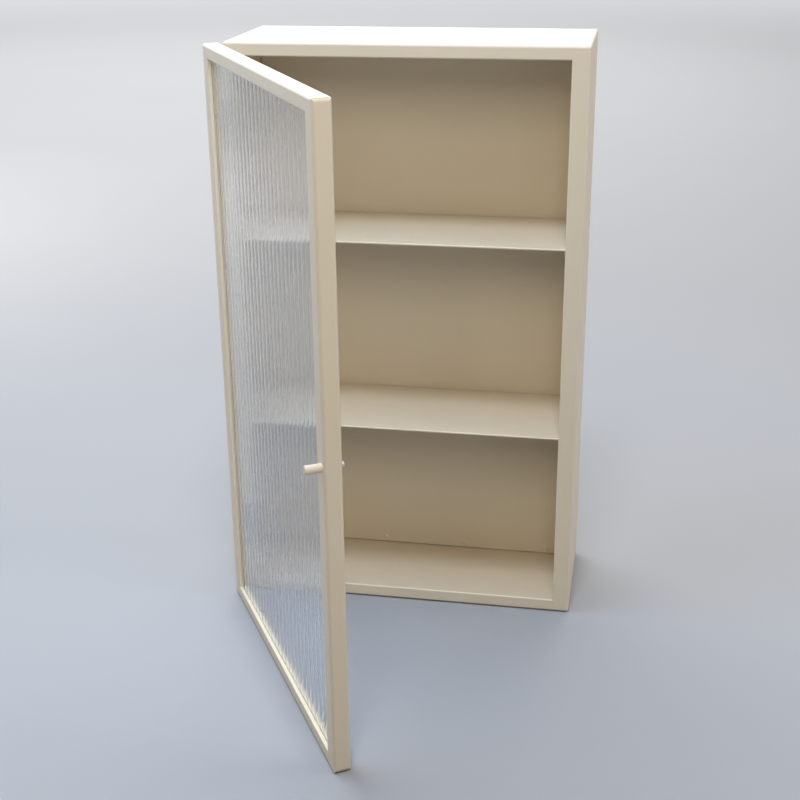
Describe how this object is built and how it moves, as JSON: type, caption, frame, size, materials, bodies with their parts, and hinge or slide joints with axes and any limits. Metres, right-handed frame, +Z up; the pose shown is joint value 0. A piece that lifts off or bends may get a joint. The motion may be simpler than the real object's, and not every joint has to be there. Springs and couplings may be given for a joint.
{
  "type": "wall cabinet",
  "caption": "Slim sheet-steel wall cabinet with fixed shelves and a left-hung framed door of reeded glass with a small round knob, standing open.",
  "frame": {"origin": "in the wall plane, midway between the round entries of the two keyholes", "axes": "+X to the right as seen from the front, +Y into the wall, +Z up"},
  "size_m": [0.3701, 0.462, 0.6],
  "materials": {
    "powder_coated_steel": "fine satin powder coat, warm beige",
    "zinc_plated_steel": "bright zinc plating",
    "reeded_glass": "clear glass, reeded on the front",
    "foam_tape": "matt pale foam tape",
    "clear_rubber": "translucent soft rubber",
    "nickel_plated_magnet": "bright nickel plating"
  },
  "bodies": {
    "case": {"top_panel": "powder_coated_steel", "bottom_panel": "powder_coated_steel", "left_side": "powder_coated_steel", "right_side": "powder_coated_steel", "back_panel": "powder_coated_steel", "lower_back_angle": "powder_coated_steel", "upper_back_angle": "powder_coated_steel", "back_rivets": "powder_coated_steel", "case_hinge_rivets": "zinc_plated_steel", "lower_shelf": "powder_coated_steel", "upper_shelf": "powder_coated_steel", "lower_hinge_case_leaf": "zinc_plated_steel", "upper_hinge_case_leaf": "zinc_plated_steel", "lower_hinge_pin": "zinc_plated_steel", "upper_hinge_pin": "zinc_plated_steel"},
    "door": {"door_bottom_rail": "powder_coated_steel", "handle_stile": "powder_coated_steel", "door_top_rail": "powder_coated_steel", "hinge_stile": "powder_coated_steel", "sealing_tape": "foam_tape", "reeded_glass": "reeded_glass", "bottom_bead": "powder_coated_steel", "top_bead": "powder_coated_steel", "hinge_side_bead": "powder_coated_steel", "handle_side_bead": "powder_coated_steel", "bead_screws": "zinc_plated_steel", "knob": "powder_coated_steel", "knob_screw": "zinc_plated_steel", "door_magnets": "nickel_plated_magnet", "door_bumpers": "clear_rubber", "door_hinge_rivets": "zinc_plated_steel", "lower_hinge_door_leaf": "zinc_plated_steel", "upper_hinge_door_leaf": "zinc_plated_steel"}
  },
  "joints": [
    {"name": "door_hinge", "type": "hinge", "parent": "case", "child": "door", "pos_m": [-0.1785, -0.14175, 0], "axis": [0, 0, -1], "range_deg": [-59, 121]}
  ]
}
